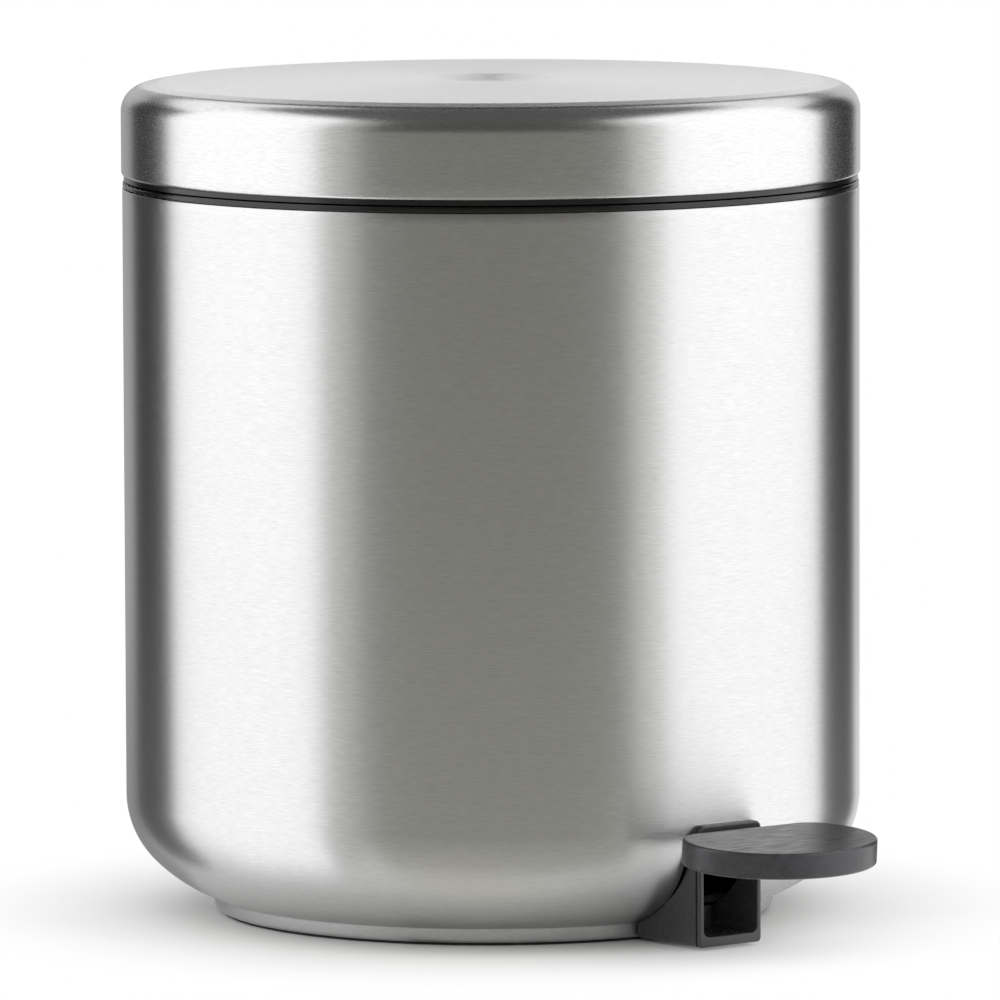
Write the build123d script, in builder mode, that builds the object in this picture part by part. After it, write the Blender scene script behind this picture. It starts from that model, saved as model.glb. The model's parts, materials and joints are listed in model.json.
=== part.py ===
from build123d import *
import os
from math import acos, asin, atan2, cos, degrees, hypot, radians, sin, sqrt

# Pedal trash can: a brushed steel body with a rounded bottom, a hinged steel lid and a foot pedal.
# Millimetres, +Z up. The origin is on the floor at the can's axis, the pedal points to -Y and the
# lid's hinge is at +Y. The pedal's lever lifts a rod on the rear wall, which turns the lid's crank.

# Steel body
body_radius = 100.0  # outside of the wall
body_top = 197.6  # upper edge of the wall
sheet = 0.7  # thickness of the steel sheet
corner_radius = 24.5
corner_sweep = 45.0  # degrees, before the rounding gets flatter
sole_radius = 42.85  # flatter rounding, from there to the foot
foot_inset = 24.0  # foot's wall inside the body's
foot_neck = 4.7  # height at which the rounded bottom meets the foot
neck_round = 0.8
foot_lift = 0.8  # steel above the floor
foot_bend = 1.2  # bend from the foot's wall into its flange
foot_flange = 10.0  # flange turned in under the foot

# Steel lid and the two plastic rings in the seam
lid_height = 25.0  # from the hem to the edge of the top
lid_crown = 1.0  # middle of the top above its edge
lid_overhang = 0.25
lid_edge_radius = 8.5
hem_radius = 1.0
hem_width = 2.6
rim_bead = 1.8  # band of the rim ring that shows in the seam
seam_gap = 0.3
lid_band = 1.3  # band of the lid ring that shows in the seam
rim_inset = 0.1
band_inset = 0.65
bead_round = 0.6
ring_wall = 1.6
rim_depth = 5.1  # from the rim ring's skirt to its inner wall
skirt_height = 9.0
shelf_drop = 9.2  # bucket's shelf below the body's edge
shelf_thick = 2.0
snap_height = 1.2
snap_reach = 0.8
upstand_height = 7.2  # lid ring's wall above the hem

# Hinge and crank
hinge_offset = 3.8  # hinge axis behind the wall
knuckle_radius = 3.2
hinge_pin_radius = 1.5
crank_pin_radius = 1.5
crank_radius = 14.8
lid_opening = 74.0  # degrees
arm_width = 16.0
cheek_thick = 4.0
lug_width = 8.0
block_height = 21.0  # hinge block below the body's edge
block_thick = 3.4
block_round = 1.0
block_corner = 4.0
notch_depth = 8.6  # opening in the wall's edge for the arm
arm_rise = 2.5  # arm's plate above the lid's hem
arm_plate = 2.2
arm_length = 10.5
arm_plate_width = 27.0
tab_thick = 2.5

# Rod, its ends and its guides
rod_radius = 2.0
slot_gap = 0.45  # room round the crank pin in the rod head
head_thick = 3.5
head_margin = 1.6
socket_radius = 3.4
socket_depth = 9.0
cap_radius = 3.8
cap_height = 10.0
cap_floor = 3.0
guide_width = 13.0
guide_height = 8.0
guide_wall = 2.0
guide_low = 60.0  # middle of the lower guide
guide_high = 150.0  # middle of the upper guide

# Base plate, floor ring and lever
base_wall = 2.0
base_thick = 2.5
base_recess = 3.2  # underside of the plate above the floor
apron_reach = 9.0  # rounded rim of the plate beyond the foot
base_rib = 1.6
base_rib_count = 8
base_rib_inner = 20.0
floor_ring_width = 8.5
boss_radius = 4.0
boss_height = 4.3
pivot_y = -24.0
pivot_height = 5.8  # axle above the base plate
pivot_radius = 2.0
bush_wall = 1.1
bush_flange = 1.0
bush_flange_radius = 4.4
saddle_thick = 4.0
saddle_round = 4.6
saddle_foot = 8.0  # half length of the saddle on the plate
clip_thick = 0.8
clip_radius = 4.0
lever_width = 16.0
lever_thick = 2.5
lever_rise = 3.0  # strip above the axle's middle
lever_flat = 6.0  # half length of the level stretch over the axle
lever_bend = 5.0
ear_thick = 2.0
ear_radius = 5.0
tip_reach = 4.0  # lever's tip beyond the rod
tip_run = 8.0  # level stretch of the tip before the rod
tip_climb = 10.5  # length of the rise to the tip
tip_lift = 0.9  # tip above the steel
stop_height = 2.0
stop_length = 6.0

# Pedal pad and its housing
pad_top = 32.9  # at its rear edge
pad_half_width = 27.9
pad_half_length = 22.45
pad_rear_cut = 14.8  # straight rear edge behind the pad's middle
pad_thick = 7.0
pad_droop = 3.7  # degrees, towards the front
pad_corner = 9.0
pad_edge_radius = 0.8
pad_wall = 2.4
pad_skin = 3.0
pad_rib = 1.6
pad_rib_pitch = 11.0
tongue_length = 28.0
tongue_wall = 2.0
pad_gap = 5.9  # pad in front of the housing
pad_screw_first = 8.0
pad_screw_pitch = 12.0
housing_width = 21.2
housing_reach = 2.5  # housing's face in front of the wall
housing_top = 33.5
housing_bottom = 0.8
housing_wall = 1.5
housing_rail = 2.8
housing_lintel = 2.3
housing_round = 2.0
housing_edge = 0.6
housing_foot_round = 1.2
groove_start = 1.0  # groove behind the front frame
groove_width = 0.8
groove_depth = 0.45
slot_round = 2.0  # corners of the slot
slot_edge = 0.4
housing_back = 3.0  # closed end of the slot beyond the foot
window_start = 10.0  # opening in the steel beyond the foot
window_margin = 0.7
hook_width = 12.0
hook_thick = 1.2
hook_lip = 1.2
housing_screw_x = 5.6
housing_screw_reach = 5.5  # screws beyond the foot

# Bucket and its bail
bucket_taper = 10.15  # bottom narrower than the top, on each side
bucket_wall = 1.6
bucket_base = 2.0
bucket_corner = 8.0
bucket_clear = 5.0  # above the raised lever
flange_thick = 2.0
flange_gap = 0.8
rim_roll = 0.6
bail_radius = 1.5
bail_bend = 4.0
lug_thick = 2.8
lug_height = 5.0
lug_length = 9.0
lug_reach = 3.5  # lugs beyond the bucket's wall

# Screws, buffers and clearances
screw_radius = 1.5
screw_head_radius = 2.8
screw_head_height = 1.6
screw_length = 9.0
buffer_radius = 1.4
buffer_depth = 0.9
buffer_angles = (-30.0, -90.0, -150.0)
fit = 0.05  # between pieces of one body
seat = 0.1  # between steel and the plastic behind it
running = 0.05  # round an axle
sliding = 0.1  # round the rod
free = 0.3  # between pieces that move past each other

# Heights and radii that follow from these
lid_radius = body_radius + lid_overhang
inner_radius = body_radius - sheet
foot_radius = body_radius - foot_inset
rim_top = body_top + rim_bead
band_low = rim_top + seam_gap
lid_bottom = band_low + lid_band
lid_top = lid_bottom + lid_height
hem_inner = lid_radius - hem_width
skirt_radius = inner_radius - seat
rim_inner = skirt_radius - rim_depth
shelf_top = body_top - shelf_drop

# The lid's crown: one arc over the middle, which the edge's rounding meets without a kink
brow_x = lid_radius - lid_edge_radius
crown_radius = (brow_x**2 + (lid_edge_radius + lid_crown) ** 2 - lid_edge_radius**2) / (2 * lid_crown)
crown_z = lid_top + lid_crown - crown_radius
crown_sweep = degrees(asin(brow_x / (crown_radius - lid_edge_radius)))

# The corner's two arcs: the first leaves the wall, the second runs on to the foot's neck
corner_x = body_radius - corner_radius
sole_x = corner_x - (sole_radius - corner_radius) * cos(radians(corner_sweep))
sole_z = foot_neck + sqrt(sole_radius**2 - (foot_radius - sole_x) ** 2)
corner_start = sole_z - (sole_radius - corner_radius) * sin(radians(corner_sweep))

# Hinge, crank, rod and lever
half_opening = radians(lid_opening / 2)
hinge_y = body_radius + hinge_offset
hinge_z = rim_top + seam_gap / 2
crank_y = hinge_y - crank_radius * cos(half_opening)
crank_z = hinge_z - crank_radius * sin(half_opening)
crank_near = hinge_y - crank_radius
rod_y = (crank_y + crank_near) / 2
rod_lift = 2 * crank_radius * sin(half_opening)
slot_half_height = crank_pin_radius + slot_gap
slot_half_length = (crank_y - crank_near) / 2 + slot_half_height
head_half = slot_half_length + head_margin
base_top = base_recess + base_thick
pivot_z = base_top + pivot_height
strip_z = pivot_z + lever_rise + lever_thick / 2
tip_y = rod_y + tip_reach
tip_radius = hypot(tip_y, lever_width / 2)
tip_floor = corner_start - sqrt((corner_radius - sheet) ** 2 - (tip_radius - corner_x) ** 2)
tip_z = tip_floor + tip_lift + lever_thick / 2
tip_start = rod_y - tip_run
climb_start = tip_start - tip_climb
stop_top = base_top + stop_height
rear_low = stop_top + free + lever_thick / 2
foot_z = tip_z + lever_thick / 2 + free
contact = foot_z - free - pivot_z + cap_radius
rod_arm = rod_y - pivot_y
raised = rod_lift + contact
pedal_travel = degrees(atan2(raised, rod_arm) - asin(contact / hypot(rod_arm, raised)))

# Bucket
bucket_top_radius = rod_y - head_half - flange_gap
bucket_bottom_radius = bucket_top_radius - bucket_taper
flange_radius = rim_inner - flange_gap
flange_top = shelf_top + flange_thick
bucket_floor = rear_low + rod_lift + bucket_clear
lug_outer = bucket_top_radius + lug_reach
lug_inner = lug_outer - lug_thick
bail_z = flange_top + free + bail_radius
bail_end = lug_inner - free
bail_arc = bail_end - bail_bend

# Pedal
housing_face = body_radius + housing_reach
pad_rear = housing_face + pad_gap
pad_plane = Plane(
    origin=(0, -pad_rear, pad_top),
    x_dir=(1, 0, 0),
    z_dir=(0, -sin(radians(pad_droop)), cos(radians(pad_droop))),
)
housing_screw_y = -(foot_radius + housing_screw_reach)


def body_region(inset, top):
    """Half section of the room inside the body's outside surface, moved in by inset."""
    wall = body_radius - inset
    foot = foot_radius - inset
    floor = foot_lift + inset
    bend = foot_bend - inset
    end_angle = degrees(acos((foot - sole_x) / (sole_radius - inset)))
    with BuildSketch(Plane.XZ) as region:
        with BuildLine():
            side = Line((wall, top), (wall, corner_start))
            CenterArc((corner_x, corner_start), corner_radius - inset, 0, -corner_sweep)
            neck = CenterArc(
                (sole_x, sole_z), sole_radius - inset, -corner_sweep, corner_sweep - end_angle
            )
            Line(neck @ 1, (foot, floor + bend))
            heel = CenterArc((foot - bend, floor + bend), bend, 0, -90)
            Polyline(heel @ 1, (0, floor), (0, top), side @ 0)
        make_face()
    return region.sketch


def lid_region(inset):
    """Half section of the room inside the lid's outside surface, moved in by inset."""
    wall = lid_radius - inset
    low = lid_bottom + inset
    hem = hem_radius - inset
    edge = lid_edge_radius - inset
    with BuildSketch(Plane.XZ) as region:
        with BuildLine():
            curl = CenterArc((wall - hem, low + hem), hem, -90, 90)
            brow = CenterArc((brow_x, lid_top - lid_edge_radius), edge, 0, 90 - crown_sweep)
            top = CenterArc((0, crown_z), crown_radius - inset, 90 - crown_sweep, crown_sweep)
            Line(curl @ 1, brow @ 0)
            Polyline(top @ 1, (0, low), curl @ 0)
        make_face()
    return region.sketch


def half_section(*points):
    """Closed half section through the can's axis, as (radius, height) points."""
    with BuildSketch(Plane.XZ) as drawn:
        with BuildLine():
            Polyline(*points, close=True)
        make_face()
    return drawn.sketch


def side_hull(*circles):
    """Hull of circles in the YZ plane, each as (y, z, radius)."""
    with BuildSketch(Plane.YZ) as drawn:
        for y, z, radius in circles:
            with Locations((y, z)):
                Circle(radius)
        make_hull()
    return drawn.sketch


def screw_section(head_radius, head_height, length):
    """Half section of a screw that stands on its flat head, with a rounded tip edge."""
    return half_section(
        (0, 0),
        (head_radius - fit, 0),
        (head_radius, fit),
        (head_radius, head_height),
        (screw_radius, head_height),
        (screw_radius, length - screw_radius / 2),
        (screw_radius / 2, length),
        (0, length),
    )


def screws_on(*planes, length=screw_length):
    """One solid screw on each plane, its head's flat side on the plane."""
    with BuildPart() as one:
        revolve(screw_section(screw_head_radius, screw_head_height, length), axis=Axis.Z)
    return Compound(children=[plane.location * one.part for plane in planes])


def write(piece, name):
    """Label a finished piece and write it."""
    piece.label = name
    export_step(piece, f"parts/{name}.step")


os.makedirs("parts", exist_ok=True)

# Places that several pieces share
arm_half = arm_width / 2
slot_half = arm_half + free + fit
lug_outer_x = slot_half + lug_width
hinge_screw_x = slot_half + lug_width / 3
hinge_screw_z = body_top - block_height * 3 / 4
hinge_screw_face = sqrt(inner_radius**2 - (hinge_screw_x + screw_head_radius) ** 2)
notch_bottom = body_top - notch_depth
floor_step = foot_radius - foot_flange - free
floor_screw_radius = floor_step - floor_ring_width / 2
ear_inner = lever_width / 2 - ear_thick
saddle_inner = lever_width / 2 + bush_flange + free
saddle_outer = saddle_inner + saddle_thick
clip_inner = saddle_outer + fit
pin_half = clip_inner + 2 * clip_thick
arm_low = lid_bottom + arm_rise
arm_high = arm_low + arm_plate
arm_front = crank_y + knuckle_radius - arm_length - cheek_thick
arm_screw_x = arm_plate_width / 2 - screw_head_radius
arm_screw_y = arm_front + screw_head_radius + fit
buffer_radius_at = rim_inner + (hem_inner - rim_inner) / 2

# Body shell: the drawn steel wall with its rounded bottom and foot flange
outside = body_region(0, body_top)
inside = body_region(sheet, body_top)
with BuildPart() as body_shell:
    revolve(outside, axis=Axis.Z)
    fillet(body_shell.edges().filter_by_position(Axis.Z, foot_neck - fit, foot_neck + fit), neck_round)
    revolve(inside, axis=Axis.Z, mode=Mode.SUBTRACT)
    Cylinder(
        foot_radius - foot_flange,
        foot_neck,
        align=(Align.CENTER, Align.CENTER, Align.MIN),
        mode=Mode.SUBTRACT,
    )
    # Opening for the hinge arm in the rear edge
    with BuildSketch(Plane.XZ.offset(-hinge_y)):
        with Locations((0, body_top)):
            RectangleRounded(2 * slot_half + 2 * free, 2 * notch_depth, bead_round)
    extrude(amount=hinge_offset + body_radius / 4, mode=Mode.SUBTRACT)
    # Opening for the lever behind the pedal's housing
    with BuildSketch(Plane.XZ.offset(foot_radius + window_start)):
        with Locations((0, housing_rail)):
            Rectangle(
                housing_width - 2 * housing_wall - 2 * window_margin,
                housing_top - housing_lintel - housing_rail - window_margin,
                align=(Align.CENTER, Align.MIN),
            )
    extrude(amount=body_radius, mode=Mode.SUBTRACT)
    # Screw holes of the housing and of the hinge block
    with Locations((housing_screw_x, housing_screw_y, 0), (-housing_screw_x, housing_screw_y, 0)):
        Cylinder(
            screw_radius + seat,
            corner_start,
            align=(Align.CENTER, Align.CENTER, Align.MIN),
            mode=Mode.SUBTRACT,
        )
    with BuildSketch(Plane.XZ.offset(-hinge_y)):
        with Locations((hinge_screw_x, hinge_screw_z), (-hinge_screw_x, hinge_screw_z)):
            Circle(screw_radius + seat)
    extrude(amount=hinge_offset + body_radius / 4, mode=Mode.SUBTRACT)
write(body_shell.part, "body_shell")

# Lid shell: the pressed steel lid with its hem
lid_outside = lid_region(0)
lid_inside = lid_region(sheet)
with BuildPart() as lid_shell:
    revolve(lid_outside, axis=Axis.Z)
    revolve(lid_inside, axis=Axis.Z, mode=Mode.SUBTRACT)
    with Locations((0, 0, lid_bottom)):
        Cylinder(hem_inner, lid_height / 2, mode=Mode.SUBTRACT)
write(lid_shell.part, "lid_shell")

# Rim ring: collar on the body's edge, with the shelf that the bucket's flange rests on
rim_section = half_section(
    (rim_inner, rim_top),
    (body_radius - rim_inset, rim_top),
    (body_radius - rim_inset, body_top),
    (skirt_radius, body_top),
    (skirt_radius, body_top - skirt_height),
    (skirt_radius - ring_wall, body_top - skirt_height),
    (skirt_radius - ring_wall, body_top),
    (rim_inner + ring_wall, body_top),
    (rim_inner + ring_wall, shelf_top - shelf_thick),
    (bucket_top_radius + flange_gap, shelf_top - shelf_thick),
    (bucket_top_radius + flange_gap, shelf_top),
    (rim_inner, shelf_top),
)
with BuildPart() as rim_ring:
    revolve(rim_section, axis=Axis.Z)
    bead = rim_ring.edges().filter_by(GeomType.CIRCLE).sort_by(SortBy.RADIUS)[-2:]
    fillet(bead, bead_round)
    with Locations((0, body_radius, body_top)):
        Box(2 * slot_half + 4 * free, body_radius, 4 * skirt_height, mode=Mode.SUBTRACT)
write(rim_ring.part, "rim_ring")

# Lid ring: snapped over the hem, with the tab that the hinge arm is screwed to
snap_low = lid_bottom + sheet + seat
upstand_out = hem_inner - seat
upstand_top = lid_bottom + upstand_height
lid_ring_section = half_section(
    (rim_inner, band_low),
    (lid_radius - band_inset, band_low),
    (lid_radius - band_inset, lid_bottom),
    (upstand_out, lid_bottom),
    (upstand_out, snap_low),
    (upstand_out + snap_reach, snap_low),
    (upstand_out, snap_low + snap_height),
    (upstand_out, upstand_top),
    (upstand_out - ring_wall, upstand_top),
    (upstand_out - ring_wall, band_low + ring_wall),
    (rim_inner, band_low + ring_wall),
)
tab_length = upstand_out - ring_wall / 2 - arm_front
with BuildPart() as lid_ring:
    revolve(lid_ring_section, axis=Axis.Z)
    with BuildSketch(Plane.XY.offset(arm_high)):
        with Locations((0, arm_front)):
            Rectangle(arm_plate_width, tab_length, align=(Align.CENTER, Align.MIN))
    extrude(amount=tab_thick)
    with Locations((0, body_radius, band_low)):
        Box(2 * slot_half, 2 * (body_radius - crank_y) + 4 * rim_depth, 2 * lid_band, mode=Mode.SUBTRACT)
    with Locations((arm_screw_x, arm_screw_y, arm_high), (-arm_screw_x, arm_screw_y, arm_high)):
        Cylinder(screw_radius + fit, 4 * tab_thick, mode=Mode.SUBTRACT)
    with BuildSketch(Plane.XY.offset(band_low)):
        for angle in buffer_angles:
            with PolarLocations(buffer_radius_at, 1, start_angle=angle):
                Circle(buffer_radius + fit)
    extrude(amount=buffer_depth + fit, mode=Mode.SUBTRACT)
write(lid_ring.part, "lid_ring")

# Rubber buffers that soften the lid's fall
with BuildPart() as lid_bumpers:
    with BuildSketch(Plane.XY.offset(rim_top + seat)):
        for angle in buffer_angles:
            with PolarLocations(buffer_radius_at, 1, start_angle=angle):
                Circle(buffer_radius)
    extrude(amount=seam_gap - seat + buffer_depth)
write(lid_bumpers.part, "lid_bumpers")

# Hinge block: screwed to the rear wall, with two lugs for the pin
block_hull = side_hull(
    (hinge_y, hinge_z, knuckle_radius),
    (body_radius, hinge_z - knuckle_radius, knuckle_radius / 2),
    (body_radius + block_thick - block_round, body_top - block_height + block_round, block_round),
    (body_radius, body_top - block_height + block_round, block_round),
)
with BuildPart() as hinge_block:
    extrude(block_hull, amount=lug_outer_x, both=True)
    with BuildSketch(Plane.XZ.offset(-body_radius)) as block_front:
        with Locations((0, hinge_z + 2 * knuckle_radius)):
            Rectangle(2 * lug_outer_x, block_height + 3 * knuckle_radius, align=(Align.CENTER, Align.MAX))
        fillet(block_front.vertices().group_by(Axis.Y)[0], block_corner)
    extrude(amount=2 * hinge_offset + 2 * knuckle_radius, both=True, mode=Mode.INTERSECT)
    with Locations((0, hinge_y, body_top)):
        Box(2 * slot_half, 2 * body_radius, 2 * notch_depth, mode=Mode.SUBTRACT)
    Cylinder(body_radius + fit, 2 * lid_top, mode=Mode.SUBTRACT)
    with Locations(Location((0, hinge_y, hinge_z), (0, 90, 0))):
        Cylinder(hinge_pin_radius + fit / 2, 4 * lug_outer_x, mode=Mode.SUBTRACT)
    with BuildSketch(Plane.XZ.offset(-hinge_screw_face)):
        with Locations((hinge_screw_x, hinge_screw_z), (-hinge_screw_x, hinge_screw_z)):
            Circle(screw_radius + fit)
    extrude(amount=-(body_radius + block_thick - 2 * fit - hinge_screw_face), mode=Mode.SUBTRACT)
write(hinge_block.part, "hinge_block")

# Hinge pin
with BuildPart() as hinge_pin:
    with BuildSketch(Plane.YZ.offset(-lug_outer_x)):
        with Locations((hinge_y, hinge_z)):
            Circle(hinge_pin_radius)
    extrude(amount=2 * lug_outer_x)
    chamfer(hinge_pin.edges(), fit * 4)
write(hinge_pin.part, "hinge_pin")

# Hinge screws, from inside the wall
hinge_screw_length = body_radius + block_thick - hinge_screw_face + screw_head_height - 4 * fit
hinge_screw_planes = [
    Plane((x, hinge_screw_face - screw_head_height - fit, hinge_screw_z), x_dir=(1, 0, 0), z_dir=(0, 1, 0))
    for x in (hinge_screw_x, -hinge_screw_x)
]
write(screws_on(*hinge_screw_planes, length=hinge_screw_length), "hinge_screws")

# Lid arm: hinge knuckle, two crank cheeks and the plate under the lid ring's tab
crank_hull = side_hull((hinge_y, hinge_z, knuckle_radius), (crank_y, crank_z, knuckle_radius))
web_hull = side_hull(
    (crank_y, crank_z, knuckle_radius),
    (crank_y - arm_plate / 2, arm_low + arm_plate / 2, arm_plate / 2),
    (arm_front + arm_plate / 2 + arm_length / 2, arm_low + arm_plate / 2, arm_plate / 2),
)
with BuildPart() as lid_arm:
    extrude(crank_hull, amount=arm_half, both=True)
    extrude(web_hull, amount=arm_half, both=True)
    # Room for the rod's head between the cheeks
    with Locations((0, crank_near - knuckle_radius, arm_low)):
        Box(
            arm_width - 2 * cheek_thick,
            2 * (crank_radius + fit - hinge_pin_radius),
            4 * crank_radius,
            mode=Mode.SUBTRACT,
        )
    with BuildSketch(Plane.XY.offset(arm_low)):
        with Locations((0, arm_front)):
            RectangleRounded(
                arm_plate_width, arm_length, screw_head_radius, align=(Align.CENTER, Align.MIN)
            )
    extrude(amount=arm_plate)
    with Locations((arm_screw_x, arm_screw_y, arm_low), (-arm_screw_x, arm_screw_y, arm_low)):
        Cylinder(screw_radius + fit, 4 * arm_plate, mode=Mode.SUBTRACT)
    with Locations(Location((0, hinge_y, hinge_z), (0, 90, 0))):
        Cylinder(hinge_pin_radius + running, 2 * arm_width, mode=Mode.SUBTRACT)
    with Locations(Location((0, crank_y, crank_z), (0, 90, 0))):
        Cylinder(crank_pin_radius + fit / 2, 2 * arm_width, mode=Mode.SUBTRACT)
write(lid_arm.part, "lid_arm")

# Arm screws, from below
arm_screw_planes = [Plane((x, arm_screw_y, arm_low - screw_head_height)) for x in (arm_screw_x, -arm_screw_x)]
arm_screw_length = screw_head_height + arm_plate + tab_thick + screw_radius
write(screws_on(*arm_screw_planes, length=arm_screw_length), "arm_screws")

# Crank pin, held by the cheeks
with BuildPart() as crank_pin:
    with BuildSketch(Plane.YZ.offset(-arm_half)):
        with Locations((crank_y, crank_z)):
            Circle(crank_pin_radius)
    extrude(amount=arm_width)
    chamfer(crank_pin.edges(), fit * 4)
write(crank_pin.part, "crank_pin")

# Push rod, between its cap and its head
socket_top = crank_z - slot_half_height - head_margin
rod_bottom = foot_z + cap_floor
rod_top = socket_top - fit
with BuildPart() as push_rod:
    with BuildSketch(Plane.XY.offset(rod_bottom)):
        with Locations((0, rod_y)):
            Circle(rod_radius)
    extrude(amount=rod_top - rod_bottom)
    chamfer(push_rod.edges(), fit * 4)
write(push_rod.part, "push_rod")

# Rod foot: cap with a round end that the lever's tip lifts
with BuildPart() as rod_foot:
    with Locations((0, rod_y, foot_z + cap_radius)):
        Sphere(cap_radius)
        Cylinder(cap_radius, cap_height - cap_radius, align=(Align.CENTER, Align.CENTER, Align.MIN))
    with Locations((0, rod_y, foot_z + cap_floor - fit)):
        Cylinder(
            rod_radius + fit,
            cap_height,
            align=(Align.CENTER, Align.CENTER, Align.MIN),
            mode=Mode.SUBTRACT,
        )
write(rod_foot.part, "rod_foot")

# Rod head: socket for the rod, and a plate with the level slot for the crank pin
with BuildPart() as rod_head:
    with BuildSketch(Plane.YZ.offset(-head_thick / 2)):
        with Locations((rod_y, crank_z)):
            SlotOverall(2 * head_half, 2 * (slot_half_height + head_margin))
            SlotOverall(2 * slot_half_length, 2 * slot_half_height, mode=Mode.SUBTRACT)
    extrude(amount=head_thick)
    with Locations((0, rod_y, socket_top)):
        Cylinder(
            socket_radius, socket_depth, align=(Align.CENTER, Align.CENTER, Align.MAX)
        )
        Cylinder(
            rod_radius + fit,
            socket_depth,
            align=(Align.CENTER, Align.CENTER, Align.MAX),
            mode=Mode.SUBTRACT,
        )
write(rod_head.part, "rod_head")

# Rod guides on the rear wall
guide_front = rod_y - rod_radius - sliding - guide_wall
with BuildPart() as rod_guides:
    for height in (guide_low, guide_high):
        with BuildSketch(Plane.XY.offset(height - guide_height / 2)):
            with Locations((0, guide_front)):
                RectangleRounded(
                    guide_width,
                    body_radius - guide_front + guide_wall,
                    guide_wall,
                    align=(Align.CENTER, Align.MIN),
                )
            Circle(inner_radius - fit, mode=Mode.INTERSECT)
            with Locations((0, rod_y)):
                Circle(rod_radius + sliding, mode=Mode.SUBTRACT)
        extrude(amount=guide_height)
write(rod_guides.part, "rod_guides")

# Base plate: stepped disc in the foot, with saddles for the lever's axle and a stop for its rear
base_inset = sheet + seat
base_outer = foot_radius - base_inset
base_arc = sole_radius - base_inset
top_arc = base_arc - base_wall
apron_radius = foot_radius + apron_reach
neck_angle = degrees(acos((base_outer - sole_x) / base_arc))
apron_angle = degrees(acos((apron_radius - sole_x) / base_arc))
with BuildSketch(Plane.XZ) as base_section:
    with BuildLine():
        under = CenterArc((sole_x, sole_z), base_arc, -neck_angle, neck_angle - apron_angle)
        over = CenterArc((sole_x, sole_z), top_arc, -apron_angle, apron_angle - neck_angle)
        Line(under @ 1, over @ 0)
        Polyline(
            over @ 1,
            (floor_step + seat, base_top),
            (0, base_top),
            (0, base_recess),
            (floor_step + seat, base_recess),
            (floor_step + seat, foot_lift + base_inset),
            (base_outer - foot_bend, foot_lift + base_inset),
            (base_outer, foot_lift + base_inset + foot_bend),
            under @ 0,
        )
    make_face()
saddle_hull = side_hull(
    (pivot_y, pivot_z, saddle_round),
    (pivot_y - saddle_foot, base_top - base_thick / 2, base_thick / 4),
    (pivot_y + saddle_foot, base_top - base_thick / 2, base_thick / 4),
)
with BuildPart() as base_plate:
    revolve(base_section.sketch, axis=Axis.Z)
    extrude(saddle_hull, amount=saddle_outer, both=True)
    with Locations((0, pivot_y, base_top)):
        Box(
            2 * saddle_inner,
            4 * saddle_foot,
            4 * pivot_z,
            align=(Align.CENTER, Align.CENTER, Align.MIN),
            mode=Mode.SUBTRACT,
        )
    with Locations((0, climb_start - stop_length, base_top)):
        Box(lever_width, stop_length, stop_height, align=(Align.CENTER, Align.CENTER, Align.MIN))
    with BuildSketch(Plane.XY.offset(base_top - base_thick / 2)):
        with PolarLocations(floor_screw_radius, 4, start_angle=45):
            Circle(boss_radius)
    extrude(amount=base_thick / 2 + boss_height)
    with BuildSketch(Plane.XY.offset(base_recess)):
        with PolarLocations(base_rib_inner, base_rib_count):
            Rectangle(
                floor_step - floor_ring_width - base_rib_inner - free,
                base_rib,
                align=(Align.MIN, Align.CENTER),
            )
    extrude(amount=-base_recess / 2)
    with BuildSketch(Plane.XY):
        with PolarLocations(floor_screw_radius, 4, start_angle=45):
            Circle(screw_radius + fit)
        with Locations((housing_screw_x, housing_screw_y), (-housing_screw_x, housing_screw_y)):
            Circle(screw_radius + fit)
    extrude(amount=4 * base_top, mode=Mode.SUBTRACT)
    with Locations(Location((0, pivot_y, pivot_z), (0, 90, 0))):
        Cylinder(pivot_radius + fit / 2, 4 * saddle_outer, mode=Mode.SUBTRACT)
write(base_plate.part, "base_plate")

# Floor ring: what the can stands on
floor_section = half_section(
    (floor_step - floor_ring_width, 0),
    (foot_radius - foot_bend - band_inset, 0),
    (foot_radius - foot_bend - band_inset, foot_lift),
    (floor_step, foot_lift),
    (floor_step, base_recess),
    (floor_step - floor_ring_width, base_recess),
)
with BuildPart() as floor_ring:
    revolve(floor_section, axis=Axis.Z)
    with BuildSketch(Plane.XY):
        with PolarLocations(floor_screw_radius, 4, start_angle=45):
            Circle(screw_radius + fit)
    extrude(amount=base_recess, mode=Mode.SUBTRACT)
    with BuildSketch(Plane.XY):
        with PolarLocations(floor_screw_radius, 4, start_angle=45):
            Circle(screw_head_radius + fit)
    extrude(amount=housing_bottom + screw_head_height, mode=Mode.SUBTRACT)
write(floor_ring.part, "floor_ring")

# Base screws, from below
base_screw_planes = [
    Plane(spot.position + Vector(0, 0, housing_bottom))
    for spot in PolarLocations(floor_screw_radius, 4, start_angle=45)
]
write(screws_on(*base_screw_planes), "base_screws")

# Pivot pin with its push-on washers
with BuildPart() as pivot_pin:
    with BuildSketch(Plane.YZ.offset(-pin_half)):
        with Locations((pivot_y, pivot_z)):
            Circle(pivot_radius)
    extrude(amount=2 * pin_half)
    chamfer(pivot_pin.edges(), fit * 4)
write(pivot_pin.part, "pivot_pin")

with BuildPart() as pivot_clips:
    for x in (clip_inner, -clip_inner - clip_thick):
        with BuildSketch(Plane.YZ.offset(x)):
            with Locations((pivot_y, pivot_z)):
                Circle(clip_radius)
                Circle(pivot_radius + fit, mode=Mode.SUBTRACT)
        extrude(amount=clip_thick)
write(pivot_clips.part, "pivot_clips")

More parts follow.
